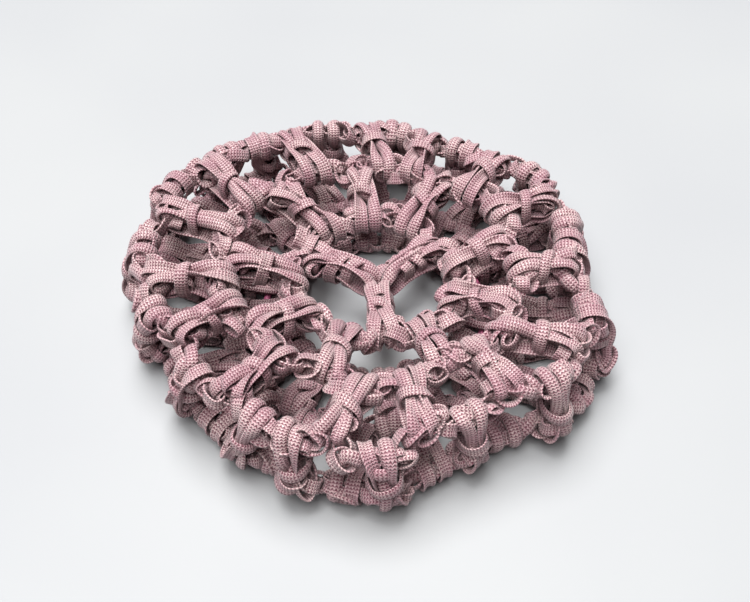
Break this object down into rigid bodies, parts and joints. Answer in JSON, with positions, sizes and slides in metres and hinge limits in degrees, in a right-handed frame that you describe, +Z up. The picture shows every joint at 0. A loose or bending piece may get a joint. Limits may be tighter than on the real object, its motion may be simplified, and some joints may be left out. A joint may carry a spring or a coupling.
{
  "type": "crochet hair snood",
  "caption": "Crochet hair snood of flat ribbon: an open round net, puffed at the rim, slack in the crown and gathered on an elastic cord at the mouth, lying mouth down.",
  "frame": {"origin": "on the table, under the middle of the outline", "axes": "+Z up through the crown, with the mouth facing -Z; +X to the right and -Y towards the viewer of the picture"},
  "size_m": [0.112, 0.1076, 0.0229],
  "materials": {
    "ribbon": "satin",
    "elastic": "smooth"
  },
  "bodies": {
    "root": {"round_1_centre": "ribbon", "round_2_crown": "ribbon", "round_3_shoulder": "ribbon", "round_4_rim": "ribbon", "round_5_underside": "ribbon", "round_6_hem": "ribbon", "elastic_cord": "elastic"}
  },
  "joints": []
}
